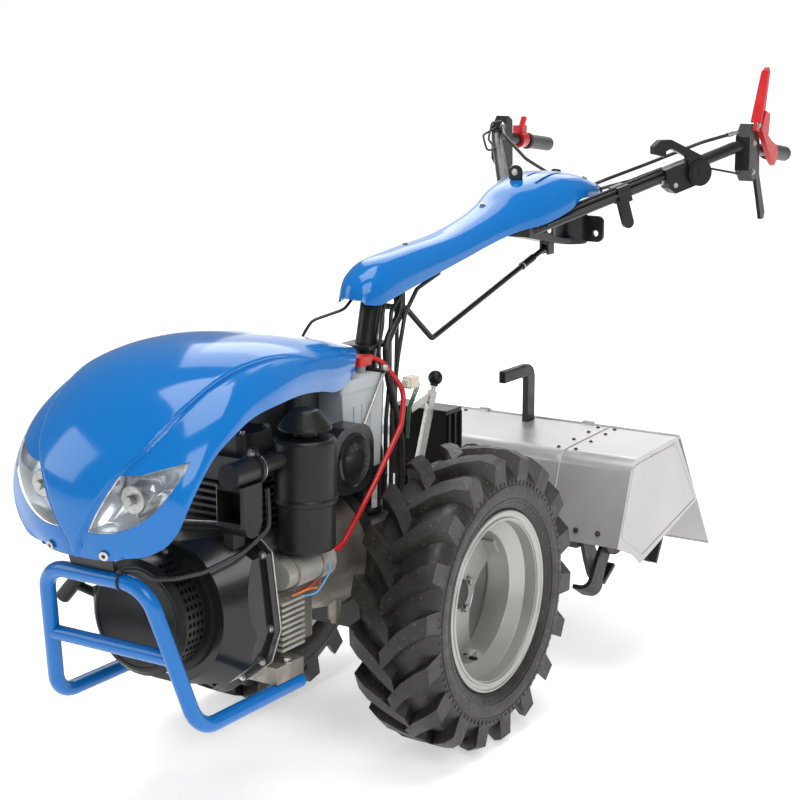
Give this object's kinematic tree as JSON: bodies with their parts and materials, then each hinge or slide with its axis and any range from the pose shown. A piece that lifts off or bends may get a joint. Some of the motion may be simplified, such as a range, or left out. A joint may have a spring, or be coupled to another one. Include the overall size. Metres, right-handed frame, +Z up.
{
  "type": "walking tractor",
  "caption": "Walking tractor with lugged tyres, a blue hood and tube guard over its engine, a rear rotary tiller with a depth spur, and a long steering console with handlebar grips.",
  "frame": {"origin": "on the floor under the middle of the overall box", "axes": "+Z up, the tractor drives towards -Y, its left side is +X, the wheel axis is parallel to X"},
  "size_m": [0.7, 2.1225, 1.223],
  "materials": {
    "case_black": "satin black paint",
    "gear_alu": "black painted castings",
    "cast_alu": "bare die casting",
    "engine_black": "gloss black pressed steel",
    "black_plastic": "matte black moulding",
    "bright_steel": "zinc plated",
    "battery_grey": "light grey case",
    "red_rubber": "red rubber",
    "blue_paint": "gloss blue paint",
    "blue_plastic": "gloss blue moulding",
    "clear_lens": "clear lamp lens",
    "grip_rubber": "soft dark grips",
    "red_plastic": "red moulding",
    "silver_paint": "silver grey paint",
    "tine_steel": "dark forged steel",
    "tyre_rubber": "black rubber",
    "case_iron": "black painted casting"
  },
  "bodies": {
    "chassis": {"gearbox": "gear_alu", "clutch_bell": "cast_alu", "crankcase": "cast_alu", "cylinder_head": "cast_alu", "fan_shroud": "engine_black", "recoil_cover": "black_plastic", "recoil_grip": "black_plastic", "air_cleaner": "black_plastic", "intake_pipe": "cast_alu", "air_duct": "black_plastic", "muffler": "engine_black", "starter_motor": "bright_steel", "regulator": "cast_alu", "fuel_tank": "black_plastic", "battery": "battery_grey", "battery_tray": "case_black", "terminal_cap": "red_rubber", "starter_lead": "red_rubber", "guard": "blue_paint", "nose_bracket": "case_black", "hood": "blue_plastic", "headlamps": "clear_lens", "column": "case_black", "console": "blue_plastic", "console_levers": "black_plastic", "bar_clamp": "case_black", "lock_rod": "case_black", "handlebars": "case_black", "grips": "grip_rubber", "clutch_lever": "red_plastic", "brake_levers": "case_black", "throttle": "black_plastic", "stop_switch": "red_plastic", "control_cables": "grip_rubber", "gear_lever": "bright_steel", "hitch_box": "case_black", "tiller_case": "case_iron", "tiller_hood": "silver_paint", "tiller_wings": "silver_paint", "depth_spur": "tine_steel"},
    "wheel_left": {"tyre_left": "tyre_rubber", "rim_left": "silver_paint", "hub_left": "case_black"},
    "wheel_right": {"tyre_right": "tyre_rubber", "rim_right": "silver_paint", "hub_right": "case_black"},
    "rotor": {"rotor": "tine_steel"},
    "flap": {"rear_flap": "silver_paint"}
  },
  "joints": [
    {"name": "wheel_left_spin", "type": "hinge", "parent": "chassis", "child": "wheel_left", "pos_m": [0.235, -0.2625, 0.281], "axis": [1, 0, 0], "continuous": true},
    {"name": "wheel_right_spin", "type": "hinge", "parent": "chassis", "child": "wheel_right", "pos_m": [-0.235, -0.2625, 0.281], "axis": [1, 0, 0], "continuous": true},
    {"name": "rotor_spin", "type": "hinge", "parent": "chassis", "child": "rotor", "pos_m": [0, 0.3175, 0.281], "axis": [1, 0, 0], "continuous": true},
    {"name": "flap_hinge", "type": "hinge", "parent": "chassis", "child": "flap", "pos_m": [0, 0.4345, 0.461], "axis": [1, 0, 0], "range_deg": [0, 60]}
  ]
}
